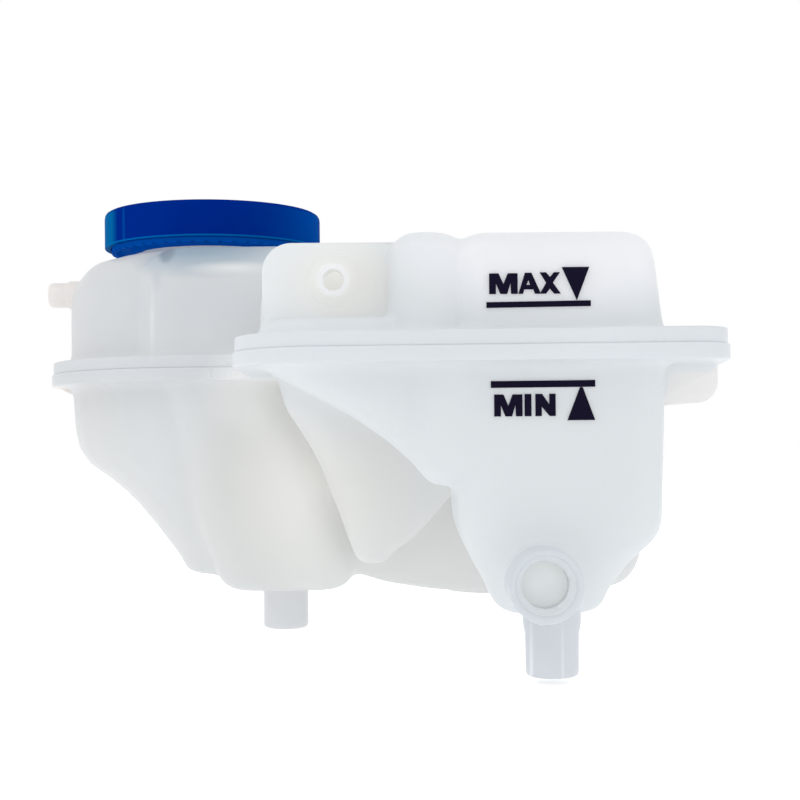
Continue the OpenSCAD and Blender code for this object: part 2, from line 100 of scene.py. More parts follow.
def soft_lamp(name, place, aim, width, watts):
    lamp = bpy.data.lights.new(name, "AREA")
    lamp.shape = "DISK"
    lamp.size = width
    lamp.energy = watts
    holder = bpy.data.objects.new(name, lamp)
    scene.collection.objects.link(holder)
    holder.location = place
    holder.rotation_mode = "QUATERNION"
    holder.rotation_quaternion = (Vector(aim) - Vector(place)).to_track_quat("-Z", "Y")


soft_lamp("lamp_left", (-0.6, -0.5, 0.9), (0, 0.1, -0.03), width=0.7, watts=2.4)
soft_lamp("lamp_right", (0.9, -0.7, 0.2), (0.03, 0.05, -0.03), width=0.5, watts=0.8)


# The ground is a plain pale sheet under the tank's lowest spigot. Its finish is the first, so the
# two classes stand here: a finish is a material with its nodes, and a wire is one of their outputs.
class Wire:
    """A value on its way through the nodes. Sums on wires add the Math nodes for them."""

    def __init__(self, finish, socket):
        self.finish = finish
        self.socket = socket

    def __add__(self, other):
        return self.finish.maths("ADD", self, other)

    def __sub__(self, other):
        return self.finish.maths("SUBTRACT", self, other)

    def __rsub__(self, other):
        return self.finish.maths("SUBTRACT", other, self)

    def __mul__(self, other):
        return self.finish.maths("MULTIPLY", self, other)

    def __truediv__(self, other):
        return self.finish.maths("DIVIDE", self, other)

    def __abs__(self):
        return self.finish.maths("ABSOLUTE", self)

    def clamped(self):
        return self.finish.node("ShaderNodeClamp", {}, Value=self)

    __radd__ = __add__
    __rmul__ = __mul__


class Finish:
    """A material of nodes, which read their patterns from Object coordinates."""

    def __init__(self, name):
        self.material = bpy.data.materials.new(name)
        self.material.use_nodes = True
        self.tree = self.material.node_tree
        self.tree.nodes.clear()
        self.place = self.node("ShaderNodeTexCoord", {}, out="Object")

    def node(self, kind, settings, out=0, **values):
        """Adds a node. A socket is named by its label, or by _ and its number."""
        made = self.tree.nodes.new(kind)
        for key, value in settings.items():
            setattr(made, key, value)
        for key, value in values.items():
            name = int(key[1:]) if key[0] == "_" else key.replace("_", " ")
            socket = made.inputs[name]
            if isinstance(value, Wire):
                self.tree.links.new(value.socket, socket)
            else:
                socket.default_value = (*value, 1) if socket.type == "RGBA" else value
        return Wire(self, made.outputs[out])

    def maths(self, operation, *terms):
        sockets = {f"_{place}": term for place, term in enumerate(terms)}
        return self.node("ShaderNodeMath", {"operation": operation}, **sockets)

    def blend(self, share, one, two):
        return self.node("ShaderNodeMix", {"data_type": "RGBA"}, out=2, _0=share, _6=one, _7=two)

    def noise(self, scale, detail=2.0):
        return self.node("ShaderNodeTexNoise", {}, Vector=self.place, Scale=scale, Detail=detail)

    def along(self, axis):
        return self.node("ShaderNodeSeparateXYZ", {}, out=axis, Vector=self.place)

    def spot(self, middle, reach):
        """A soft ball of influence: 1 at middle, 0 where it ends, at reach along each axis."""
        scaled = self.node("ShaderNodeMapping", {}, Vector=self.place, Scale=[1 / r for r in reach],
                           Location=[-m / r for m, r in zip(middle, reach)])
        return self.node("ShaderNodeTexGradient", {"gradient_type": "SPHERICAL"}, out=1, Vector=scaled)

    def band(self, value, middle, reach):
        """1 where value is middle, 0 from reach away."""
        return (1 - abs(value - middle) / reach).clamped()

    def bump(self, height, distance, strength=1.0):
        return self.node("ShaderNodeBump", {}, Height=height, Distance=distance, Strength=strength)

    def plastic(self, colour, roughness, **more):
        return self.node("ShaderNodeBsdfPrincipled", {}, Base_Color=colour, Roughness=roughness, **more)

    def surface(self, shader):
        ending = self.tree.nodes.new("ShaderNodeOutputMaterial")
        self.tree.links.new(shader.socket, ending.inputs["Surface"])
        return self.material


ground_size = 6
ground_gap = 0.0002
floor_mesh = bpy.data.meshes.new("ground")
shape = bmesh.new()
bmesh.ops.create_grid(shape, x_segments=2, y_segments=2, size=ground_size)
bmesh.ops.translate(shape, verts=shape.verts, vec=(0, 0, cad_box[0].z - ground_gap))
shape.to_mesh(floor_mesh)
shape.free()
ground = bpy.data.objects.new("ground", floor_mesh)
scene.collection.objects.link(ground)
pale = Finish("pale_ground")
floor_mesh.materials.append(pale.surface(pale.plastic(
    (0.9, 0.9, 0.9), 0.9, Specular_IOR_Level=0.1, Emission_Color=(1, 1, 1), Emission_Strength=0.45
)))


# The tank's two shells are mouldings of milky polypropylene, 2.6 mm thick. Every edge of a
# moulding is soft, so the outside of each packed shell is closed, remeshed and smoothed, gets its
# crisp turned and flat details, and is hollowed again with the shell's own inside.
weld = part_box("upper_shell")[0].z
tank_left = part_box("upper_shell")[0].x
neck_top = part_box("upper_shell")[1].z
neck = Vector((-0.0557, 0.145, 0))
drum_roof = 0.0268
flange_half = 0.0047
flange_held = flange_half + 0.0002
thin_edge = 0.0005
merge_reach = 2e-6
level_reach = 2e-5


def skins(node, rims):
    """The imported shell's outside and inside as closed shapes, parted where rims have a flat face.

    Each rim is (axis, its place on it, which way is out). The inside reaches out past the rims, so
    that it cuts clean through them.
    """
    past_rim = 0.0012
    whole = bmesh.new()
    whole.from_mesh(nodes[node].data)
    bmesh.ops.remove_doubles(whole, verts=whole.verts, dist=merge_reach)
    flat = [
        face for face in whole.faces
        if any(all(abs(v.co[axis] - at) < level_reach for v in face.verts) for axis, at, _ in rims)
    ]
    bmesh.ops.delete(whole, geom=flat, context="FACES_ONLY")
    outside = set()
    front = [max(whole.faces, key=lambda face: face.calc_center_median().x)]
    while front:
        face = front.pop()
        if face in outside:
            continue
        outside.add(face)
        front.extend(near for edge in face.edges for near in edge.link_faces if near not in outside)
    for face in whole.faces:
        face.tag = face in outside
    parts = []
    for keep in (True, False):
        part = whole.copy()
        bmesh.ops.delete(part, geom=[face for face in part.faces if face.tag != keep], context="FACES")
        parts.append(part)
    whole.free()
    outer, inner = parts
    for vert in inner.verts:
        if vert.is_boundary:
            for axis, at, way in rims:
                if abs(vert.co[axis] - at) < level_reach:
                    vert.co[axis] += past_rim * way
    bmesh.ops.reverse_faces(inner, faces=inner.faces)
    for part in parts:
        edges = [edge for edge in part.edges if edge.is_boundary]
        bmesh.ops.holes_fill(part, edges=edges, sides=0)
        bmesh.ops.triangulate(part, faces=[face for face in part.faces if len(face.verts) > 4])
    return outer, inner


def as_object(name, shape):
    mesh = bpy.data.meshes.new(name)
    shape.to_mesh(mesh)
    shape.free()
    made = bpy.data.objects.new(name, mesh)
    scene.collection.objects.link(made)
    return made


def fitted(piece, node, body):
    """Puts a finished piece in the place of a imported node."""
    crease = math.radians(42)
    piece.data.shade_smooth()
    piece.data.set_sharp_from_angle(angle=crease)
    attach(piece, body)
    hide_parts(node)


def finish_modifiers(made):
    finished = made.evaluated_get(bpy.context.evaluated_depsgraph_get())
    mesh = bpy.data.meshes.new_from_object(finished)
    made.modifiers.clear()
    made.data = mesh


def turned(profile, place, axis, steps=96):
    """A solid turned from points of (radius, height), standing on place and pointing along axis."""
    shape = bmesh.new()
    verts = [shape.verts.new((radius, 0, height)) for radius, height in profile]
    edges = [shape.edges.new(pair) for pair in zip(verts, verts[1:])]
    bmesh.ops.spin(shape, geom=verts + edges, cent=(0, 0, 0), axis=(0, 0, 1), angle=math.tau,
                   steps=steps, use_merge=True)
    bmesh.ops.remove_doubles(shape, verts=shape.verts, dist=1e-7)
    bmesh.ops.recalc_face_normals(shape, faces=shape.faces)
    turn = Vector(axis).to_track_quat("Z", "Y").to_matrix().to_4x4()
    bmesh.ops.transform(shape, matrix=Matrix.Translation(place) @ turn, verts=shape.verts)
    return shape


def slab(loops, normal, thickness, edge_r):
    """Flat outlines filled and drawn out along normal, with all the edges rounded by edge_r."""
    shape = bmesh.new()
    for loop in loops:
        verts = [shape.verts.new(point) for point in loop]
        for pair in zip(verts, verts[1:] + verts[:1]):
            shape.edges.new(pair)
    bmesh.ops.triangle_fill(shape, use_beauty=True, use_dissolve=False, edges=shape.edges[:],
                            normal=normal)
    bmesh.ops.dissolve_limit(shape, angle_limit=0.001, verts=shape.verts, edges=shape.edges)
    made = bmesh.ops.extrude_face_region(shape, geom=shape.faces[:])
    moved = [item for item in made["geom"] if isinstance(item, bmesh.types.BMVert)]
    bmesh.ops.translate(shape, verts=moved, vec=Vector(normal) * thickness)
    bmesh.ops.recalc_face_normals(shape, faces=shape.faces)
    if edge_r:
        way = Vector(normal)
        rims = [
            edge for edge in shape.edges
            if abs((edge.verts[0].co - edge.verts[1].co).normalized().dot(way)) < 0.5
        ]
        bmesh.ops.bevel(shape, geom=rims, offset=edge_r, offset_type="OFFSET", segments=3, profile=0.5,
                        affect="EDGES", clamp_overlap=False, material=-1)
    return shape


def combined(made, operation, surface, *shapes):
    """Joins the shapes to made or cuts them from it. The faces they leave are of the given material."""
    for count, shape in enumerate(shapes):
        tool = as_object(f"{made.name}_tool_{count}", shape)
        tool.data.materials.append(surface)
        cut = made.modifiers.new("cut", "BOOLEAN")
        cut.operation = operation
        cut.solver = "MANIFOLD"
        cut.material_mode = "TRANSFER"
        cut.object = tool
        finish_modifiers(made)
        bpy.data.objects.remove(tool)


def moulding(name, node, rims, grain, held):
    """The shell's skin remeshed at grain and smoothed, less where held(point) is true."""
    outer, inner = skins(node, rims)
    skin = as_object(name, outer)
    skin.data.materials.append(thin_wall)
    remesh = skin.modifiers.new("skin", "REMESH")
    remesh.mode = "VOXEL"
    remesh.voxel_size = grain
    finish_modifiers(skin)
    free = [v.index for v in skin.data.vertices if not held(v.co)]
    skin.vertex_groups.new(name="free").add(free, 1.0, "REPLACE")
    for group, passes in (("", 3), ("free", 18), ("", 2)):
        soften = skin.modifiers.new("soften", "SMOOTH")
        soften.vertex_group = group
        soften.factor = 0.5
        soften.iterations = passes
    finish_modifiers(skin)
    return skin, inner


def flange_plate(node, way):
    """The shell's half of the flange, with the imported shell's outline and crisp edges."""
    whole = bmesh.new()
    whole.from_mesh(nodes[node].data)
    bmesh.ops.remove_doubles(whole, verts=whole.verts, dist=merge_reach)
    rim = [
        edge for edge in whole.edges
        if all(abs(v.co.z - weld) < level_reach for v in edge.verts)
        and any(abs(face.normal.z) < 0.5 for face in edge.link_faces)
    ]
    start = max((v for edge in rim for v in edge.verts), key=lambda v: v.co.x)
    loop = [start]
    last = None
    while True:
        step = next(edge for edge in loop[-1].link_edges if edge in rim and edge is not last)
        last = step
        after = step.other_vert(loop[-1])
        if after is start:
            break
        loop.append(after)
    points = [v.co.copy() for v in loop]
    whole.free()
    return slab([points], (0, 0, way), flange_half, thin_edge)


# The milky plastic lets light through its thin walls, and a painted glow of its own stands in for more of
# that light. It is painted a little greyer where it is solid, as in the flange and the spigots, as painted
# shade, and painted cool in front and warmer towards the back, as painted light. Patches of painted shade
# make it blue under the cap and dark in the valley's notch, patches of painted light lie deep between the
# chambers, on the shoulder and on the outlet tube, and it is cream on the tab.
patches = (
    # middle, reach along each axis, share, colour
    ((-0.050, 0.105, 0.000), (0.075, 0.045, 0.035), 1.5, (0.425, 0.437, 0.460)),  # painted shade on the drum's front
    ((-0.0545, 0.080, 0.0275), (0.056, 0.032, 0.017), 1.8, (0.10, 0.19, 0.27)),  # painted shade under the cap
    ((-0.0664, 0.088, 0.0222), (0.0040, 0.02, 0.0056), 2.2, (0.08, 0.13, 0.19)),  # painted shade in the valley's notch
    ((-0.0690, 0.085, 0.0130), (0.0028, 0.02, 0.008), 0.6, (0.31, 0.34, 0.38)),  # painted shade at the foot of the notch
    ((-0.0709, 0.085, -0.0045), (0.0014, 0.02, 0.017), 0.8, (0.53, 0.55, 0.565)),  # painted light line in the valley
    ((-0.0400, 0.085, 0.0150), (0.020, 0.02, 0.0032), 1.0, (0.56, 0.565, 0.56)),  # painted highlight on the shoulder
    ((0.003, 0.000, -0.001), (0.030, 0.012, 0.022), 1.3, (0.495, 0.492, 0.470)),  # tab
    ((0.000, -0.0018, 0.000), (0.0068, 0.0014, 0.0068), 3.0, (0.462, 0.476, 0.505)),  # the tab's boss
    ((0.068, -0.014, 0.008), (0.055, 0.045, 0.024), 2.0, (0.575, 0.58, 0.605)),  # painted light on the front chamber's roof
    ((-0.030, 0.098, -0.065), (0.034, 0.04, 0.05), 0.8, (0.455, 0.445, 0.405)),  # pouch
    ((-0.011, 0.095, -0.064), (0.034, 0.06, 0.05), 0.8, (0.70, 0.69, 0.66)),  # painted light on the pouch's right side
    ((-0.031, 0.100, -0.029), (0.026, 0.05, 0.020), 0.8, (0.62, 0.62, 0.60)),  # painted light on the drum under the flange, where it is in shade
    ((0.000, 0.040, 0.000), (0.012, 0.050, 0.012), 2.0, (0.60, 0.59, 0.555)),  # painted light on the wall behind the tab, where it is in shade
    ((0.026, 0.100, -0.088), (0.050, 0.06, 0.040), 0.8, (0.53, 0.53, 0.51)),  # rear chamber's foot
    ((0.008, 0.062, -0.058), (0.036, 0.035, 0.045), 1.2, (0.48, 0.475, 0.45)),  # middle chamber
    ((-0.1168, 0.145, -0.0265), (0.007, 0.030, 0.007), 1.2, (0.50, 0.465, 0.43)),  # flange's left end
    ((-0.1214, 0.145, 0.0117), (0.0008, 0.010, 0.010), 0.6, (0.45, 0.43, 0.42)),  # painted shade of a groove at the nipple's mouth
    ((0.0581, -0.020, -0.1170), (0.0007, 0.012, 0.018), 0.7, (0.56, 0.58, 0.61)),  # painted highlight on the outlet tube's left edge
    ((0.0670, -0.020, -0.1170), (0.0007, 0.012, 0.018), 0.6, (0.50, 0.52, 0.55)),  # painted highlight streak on the tube
)


def milky(name, cool, warm, through_share=0.25, painted_glow=0.6):
    """Milky plastic, painted cool in front and warm at the back, letting a share of light through, with a
    painted glow.
    """
    finish = Finish(name)
    warm_from = 0.17
    # The tone is painted cool in front and warm towards the back, as painted light.
    warmth = (finish.along(1) / warm_from).clamped()
    cloud = finish.noise(16, detail=3)
    tint = finish.blend(warmth, cool, warm)
    # Each patch paints its colour at its place: painted shade, painted light or the plastic's own tone.
    for middle, reach, share, colour in patches:
        tint = finish.blend((finish.spot(middle, reach) * share).clamped(), tint, colour)
    tint = finish.blend(cloud * 0.22, tint, (0.7, 0.73, 0.76))
    relief = finish.bump(finish.noise(900) * 0.2 + finish.noise(55), 0.00012, 0.3)
    # The emission is a painted glow, a stand-in for light let through and thrown back by the plastic.
    solid = finish.plastic(tint, 0.3 + 0.14 * cloud, IOR=1.49, Specular_IOR_Level=0.35, Normal=relief,
                           Emission_Color=tint, Emission_Strength=painted_glow)
    through = finish.node("ShaderNodeBsdfTranslucent", {}, Color=(0.82, 0.825, 0.825))
    mixed = finish.node("ShaderNodeMixShader", {}, _0=through_share, _1=solid, _2=through)
    return finish.surface(mixed)


# The flange's copy, which the neck's collar and thread take too, is painted greyer, and the spigots' is
# greyer in front, as painted shade. The nipple's copy, which the lug takes too, is painted warmer and
# lighter, as painted light through their thin plastic.
thin_wall = milky("milky_wall", (0.470, 0.495, 0.512), (0.435, 0.436, 0.430), through_share=0.35)
flange_wall = milky("milky_flange", (0.400, 0.420, 0.443), (0.345, 0.357, 0.367))
spigot_wall = milky("milky_spigot", (0.345, 0.366, 0.394), (0.480, 0.482, 0.485))
boss_wall = milky("milky_boss", (0.485, 0.505, 0.535), (0.485, 0.505, 0.535))
nipple_wall = milky("milky_nipple", (0.485, 0.475, 0.468), (0.495, 0.462, 0.445))
inside_wall = milky("milky_inside", (0.75, 0.76, 0.77), (0.75, 0.75, 0.73), 0.85, 0.0)


# The upper shell is one moulding: the chambers' roofs and the drum, with the filler neck, the bleed
# nipple and the mounting tab, which a screw holds to the wing. Its flange is welded to the lower
# shell's.
def held_above(point):
    """The flange, the tab, the neck and the nipple lie just under their crisp details."""
    in_flange = point.z < weld + flange_held
    on_tab = -0.0215 < point.x < 0.015 and -0.0025 < point.y < 0.004 and point.z > -0.0105
    on_neck = point.z > drum_roof - 0.0005 and (point - neck).xy.length < 0.036
    return in_flange or on_tab or on_neck or point.x < tank_left + 0.0095


upper_rims = [(2, weld, -1), (2, neck_top, 1), (0, tank_left, -1)]
upper, upper_core = moulding("upper_moulding", "upper_shell", upper_rims, 0.0011, held_above)


def ramp(value):
    """From 0 to 1 as value goes from 0 to 1, with a soft start and a soft end."""
    share = min(max(value, 0), 1)
    return share * share * (3 - 2 * share)


# The drum's roof falls off outside the neck, and a shallow valley runs up its front wall to a notch
# in the shoulder. Both were left by the mould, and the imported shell's drum is plain there.
drum_reach = 0.075
drum_front = -0.02
roof_fall = 0.0017
valley_half = 0.0028
valley_foot = -0.0713
valley_lean = 0.0053
foot_depth = 0.0004
notch_depth = 0.0009
for vert in upper.data.vertices:
    out = (vert.co - neck).xy
    height = vert.co.z
    if height < 0 or out.length > drum_reach:
        continue
    if out.y < drum_front:
        valley = valley_foot + valley_lean * ramp((height - 0.009) / 0.012)
        depth = foot_depth + notch_depth * ramp((height - 0.012) / 0.010)
        vert.co.y += depth * math.exp(-((vert.co.x - valley) / valley_half) ** 2)
    from_nipple = ramp((vert.co.x - tank_left - 0.018) / 0.015)
    from_neck = ramp((out.length - 0.029) / 0.008)
    vert.co.z -= roof_fall * from_nipple * from_neck * ramp((height - 0.010) / 0.015)


def arc(middle, radius, start, end, steps):
    """Points in the XZ plane on an arc, from start to end degrees."""
    angles = [math.radians(start + (end - start) * i / steps) for i in range(steps + 1)]
    x, y, z = middle
    return [(x + radius * math.cos(angle), y, z + radius * math.sin(angle)) for angle in angles]


# The tab is a flat plate whose screw hole has a boss and a low ring round it. The neck is a plain
# collar with an eased rim, and the nipple a short stub that steps down to its mouth.
tab_face = -0.00012
tab_thickness = 0.0032
tab_left, tab_right = -0.0220, 0.0190
tab_low, tab_top = -0.0145, 0.0116
tab_corner = 0.009
tab_plate = slab(
    [[(tab_right, tab_face, tab_low), (tab_right, tab_face, tab_top)]
     + arc((tab_left + tab_corner, tab_face, tab_top - tab_corner), tab_corner, 90, 180, 12)
     + [(tab_left, tab_face, tab_low)]],
    (0, 1, 0), tab_thickness, thin_edge
)
boss = turned([(0, 0), (0.0053, 0), (0.0059, 0.0006), (0.0059, 0.0085), (0, 0.0085)],
              (0, -0.0012, 0), (0, 1, 0))
ring = turned([(0, 0), (0.0080, 0), (0.0085, 0.0004), (0.0085, 0.002), (0, 0.002)],
              (0, -0.0004, 0), (0, 1, 0))
hole_r = 0.00335
hole = turned([(0, 0), (hole_r, 0), (hole_r, 0.014), (0, 0.014)], (0, -0.004, 0), (0, 1, 0), steps=64)
nipple = Vector((tank_left, 0.145, 0.0117))
stub_length = 0.0176
stub = turned([(0, 0), (0.0058, 0), (0.0058, 0.0090), (0.0056, 0.0096), (0.0052, 0.0102), (0.0051, 0.0110),
               (0.0051, 0.0160), (0.0049, 0.0170), (0.0044, 0.0175), (0.0038, stub_length),
               (0, stub_length)],
              (nipple.x + stub_length, nipple.y, nipple.z), (-1, 0, 0), steps=64)
collar_r = 0.028
collar_root = 0.002
rise = neck_top - drum_roof + collar_root
collar = turned([(0, 0), (collar_r, 0), (collar_r, rise - 0.0006), (collar_r - 0.0004, rise), (0, rise)],
                (neck.x, neck.y, drum_roof - collar_root), (0, 0, 1))
combined(upper, "UNION", flange_wall, flange_plate("upper_shell", 1), collar)
combined(upper, "UNION", thin_wall, tab_plate, ring)
combined(upper, "UNION", boss_wall, boss)
combined(upper, "UNION", nipple_wall, stub)
combined(upper, "DIFFERENCE", thin_wall, hole)
combined(upper, "DIFFERENCE", inside_wall, upper_core)


def repaint(piece, surface, chosen):
    """Thin-walled faces whose middle is chosen take another of the piece's materials."""
    places = [slot.material for slot in piece.material_slots]
    for face in piece.data.polygons:
        if face.material_index == places.index(thin_wall) and chosen(face.center):
            face.material_index = places.index(surface)


def on_nipple(point):
    return point.x < nipple.x + 0.0175 and (point - nipple).yz.length < 0.0066


repaint(upper, nipple_wall, on_nipple)
fitted(upper, "upper_shell", "tank")


# The lower shell is the other moulding: the chambers' and the drum's lower halves, with the outlet
# elbow, the two spigots that take hoses, and the side lug. It hangs from the weld and is open to
# the upper shell.
outlet_end = -0.1198
return_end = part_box("lower_shell")[0].z
recess_floor = -0.026
outlet_axis = Vector((0.0647, -0.015, 0))
return_axis = Vector((-0.0255, 0.123, 0))
elbow_end = -0.0165


def held_below(point):
    """The flange, the lug, both spigots and the elbow lie just under their crisp details."""
    in_flange = point.z > weld - flange_held
    on_lug = point.x > 0.1045 and point.z > weld - 0.025 and point.y < 0.0125
    on_elbow = point.y < elbow_end
    return in_flange or on_lug or on_elbow or on_outlet(point, 0.0095) or on_return(point)


def on_outlet(point, reach=0.0105):
    return point.z < -0.1045 and (point - outlet_axis).xy.length < reach


def on_return(point):
    return point.z < -0.1065 and point.x < -0.01


lower_rims = [(2, weld, 1), (2, outlet_end, -1), (2, return_end, -1), (1, recess_floor, -1)]
lower, lower_core = moulding("lower_moulding", "lower_shell", lower_rims, 0.0013, held_below)


# The elbow ends in a raised rim round the recess for its disc. Both spigots are plain tubes with
# eased mouths, and the lug is a flat ear under the flange.
elbow_face = (0.0617, -0.032, -0.0918)
elbow = turned([(0, 0.006), (0.0082, 0.006), (0.0086, 0.0056), (0.0086, 0.0008), (0.0092, 0.0001),
                (0.0094, 0), (0.0101, 0), (0.0106, 0.0002), (0.01085, 0.0008), (0.01085, 0.0196),
                (0, 0.0196)],
               elbow_face, (0, 1, 0))
outlet_length = 0.028
outlet = turned([(0, -0.004), (0.0086, -0.004), (0.0086, 0.0120), (0.0084, 0.0136), (0.0080, 0.0152),
                 (0.0079, 0.0200), (0.0079, 0.0256), (0.0079, 0.0264), (0.0076, 0.0275),
                 (0.0068, outlet_length), (0, outlet_length)],
                (outlet_axis.x, outlet_axis.y, outlet_end + outlet_length), (0, 0, -1), steps=64)
return_r = 0.0087
return_length = 0.02
return_tube = turned([(0, 0), (return_r, 0), (return_r, 0.0120), (return_r, 0.0176), (return_r, 0.0186),
                      (0.0083, 0.0196), (0.0075, return_length), (0, return_length)],
                     (return_axis.x, return_axis.y, return_end + return_length), (0, 0, -1), steps=64)
lug_y = 0.0111
lug_left, lug_right = 0.0985, 0.1199
lug_r = 0.0068
lug_thickness = 0.0032
lug_top = weld - 0.0036
lug = slab(
    [[(lug_left, lug_y, lug_top), (lug_right, lug_y, lug_top)]
     + arc((lug_right - lug_r, lug_y, lug_top - 0.0064), lug_r, 0, -98, 12)
     + [(lug_left, lug_y, lug_top - 0.0142)]],
    (0, -1, 0), lug_thickness, thin_edge
)
combined(lower, "UNION", flange_wall, flange_plate("lower_shell", -1))
combined(lower, "UNION", spigot_wall, elbow, outlet, return_tube)
combined(lower, "UNION", nipple_wall, lug)
combined(lower, "DIFFERENCE", inside_wall, lower_core)
repaint(lower, spigot_wall, on_outlet)
repaint(lower, spigot_wall, on_return)
fitted(lower, "lower_shell", "tank")


# The pale disc in the outlet elbow is a plain plug, moulded of the same plastic with no colour in
# it and welded into the elbow's recess. It shuts the hole that the mould's core was drawn out of.
plug = Finish("plug_plastic")
plug_tint = plug.blend(plug.noise(60), (0.68, 0.71, 0.72), (0.72, 0.74, 0.74))
# The plug's emission is a faint painted glow, a stand-in for light let through it.
plug_skin = plug.plastic(plug_tint, 0.42 + 0.1 * plug.noise(220), Emission_Color=plug_tint,
                         Emission_Strength=0.2, Normal=plug.bump(plug.noise(500), 0.0001, 0.4))
plug_light = plug.node("ShaderNodeBsdfTranslucent", {}, Color=(0.95, 0.97, 0.93))
nodes["outlet_disc"].data.materials.clear()
nodes["outlet_disc"].data.materials.append(
    plug.surface(plug.node("ShaderNodeMixShader", {}, _0=0.3, _1=plug_skin, _2=plug_light))
)


# The level marks are stamped on the main front chamber in dark ink: a bar at each level, a word
# and a triangle that points at it. Sizes are in millimetres, from the tab's hole.
ink = Finish("stamped_ink")
ink_cloud = ink.noise(300, detail=4)
ink_tint = ink.blend(ink_cloud, (0.003, 0.002, 0.011), (0.006, 0.004, 0.018))
ink_surface = ink.surface(ink.plastic(ink_tint, 0.5 + 0.2 * ink_cloud, Specular_IOR_Level=0.05))

letters = {
    "M": [[(0, 0), (0, 1), (0.33, 1), (0.5, 0.48), (0.65, 1), (1, 1), (1, 0), (0.77, 0), (0.75, 0.52),
           (0.63, 0), (0.395, 0), (0.235, 0.52), (0.235, 0)]],
    "A": [[(0, 0), (0.29, 1), (0.58, 1), (1, 0), (0.745, 0), (0.665, 0.21), (0.255, 0.21), (0.205, 0)],
          [(0.36, 0.42), (0.45, 0.66), (0.53, 0.42)]],
    "X": [[(0, 1), (0.3, 1), (0.485, 0.78), (0.68, 1), (0.97, 1), (0.625, 0.51), (1, 0), (0.69, 0),
           (0.485, 0.24), (0.3, 0), (0, 0), (0.31, 0.51)]],
    "I": [[(0, 0), (0, 1), (1, 1), (1, 0)]],
    "N": [[(0, 0), (0, 1), (0.33, 1), (0.69, 0.52), (0.69, 1), (1, 1), (1, 0), (0.71, 0), (0.31, 0.43),
           (0.31, 0)]],
}
mark_wall = -0.0144
ink_depth = 0.0008


def placed(loops, left, right, bottom, top):
    """A letter's outlines, drawn in a unit square, stretched into their place."""
    return [[(left + x * (right - left), bottom + z * (top - bottom)) for x, z in loop] for loop in loops]


def level_mark(name, glyphs, others, lean):
    """A mark on the wall, which leans there by lean. Each glyph is (letter, left, right, bottom, top).

    The others are outlines given point by point.
    """
    outlines = [placed(letters[letter], *edges) for letter, *edges in glyphs]
    outlines += [[outline] for outline in others]
    whole = bmesh.new()
    for loops in outlines:
        part = slab([[(x / 1000, 0, z / 1000) for x, z in loop] for loop in loops],
                    (0, -1, 0), ink_depth, 0)
        mesh = bpy.data.meshes.new("part")
        part.to_mesh(mesh)
        part.free()
        whole.from_mesh(mesh)
        bpy.data.meshes.remove(mesh)
    bmesh.ops.rotate(whole, verts=whole.verts, cent=(0, 0, weld), matrix=Matrix.Rotation(lean, 3, "X"))
    bmesh.ops.translate(whole, verts=whole.verts, vec=(0, mark_wall, 0))
    piece = as_object(name, whole)
    piece.data.materials.append(ink_surface)
    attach(piece, "tank")


level_mark(
    "max_mark",
    [("M", 46.96, 55.42, -6.3, -0.2), ("A", 55.65, 62.3, -6.3, -0.1), ("X", 62.0, 68.2, -6.3, 0.0)],
    [[(46.1, -10.4), (46.1, -8.7), (77.1, -8.4), (77.1, -10.1)],
     [(68.6, 1.5), (76.7, 1.5), (73.0, -8.3)]],
    math.radians(1.3)
)
level_mark(
    "min_mark",
    [("M", 48.15, 56.54, -42.7, -36.2), ("I", 57.2, 59.2, -42.7, -36.1), ("N", 60.4, 66.4, -42.7, -36.1)],
    [[(47.2, -34.2), (47.2, -32.2), (78.2, -32.1), (78.2, -34.1)],
     [(69.9, -44.0), (73.7, -34.2), (74.5, -34.2), (78.1, -44.0)]],
    math.radians(-0.8)
)


# The cap's cover is a cup moulded in blue plastic, with a grip bar across its top. Its skirt's lower edge
# has a painted highlight, and its front is painted lighter at the left and the right, as painted
# highlights.
def span(node):
    """The outer radius, lowest and highest level of a node that stands round the neck's axis."""
    low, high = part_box(node)
    return (high.x - low.x) / 2, low.z, high.z


def eased(profile, reach):
    """The profile with its corners rounded off, by reach or by the corner's own third value."""
    corners = [(Vector(point[:2]), point[2] if len(point) > 2 else reach) for point in profile]
    soft = [corners[0][0]]
    for (before, _), (corner, own), (after, _) in zip(corners, corners[1:], corners[2:]):
        one = corner + (before - corner).normalized() * min(own, 0.45 * (before - corner).length)
        two = corner + (after - corner).normalized() * min(own, 0.45 * (after - corner).length)
        for share in (0, 0.25, 0.5, 0.75, 1):
            soft.append(one.lerp(corner, share).lerp(corner.lerp(two, share), share))
    return soft + [corners[-1][0]]


cover_r, cover_low, bar_top = span("cap_cover")
blue = Finish("cap_blue_plastic")
blue_cloud = blue.noise(40, detail=3)
side = (blue.along(0) - neck.x) / cover_r
front = ((neck.y + 0.012 - blue.along(1)) / 0.02).clamped()
wall = front * ((bar_top - 0.0034 - blue.along(2)) / 0.0015).clamped()
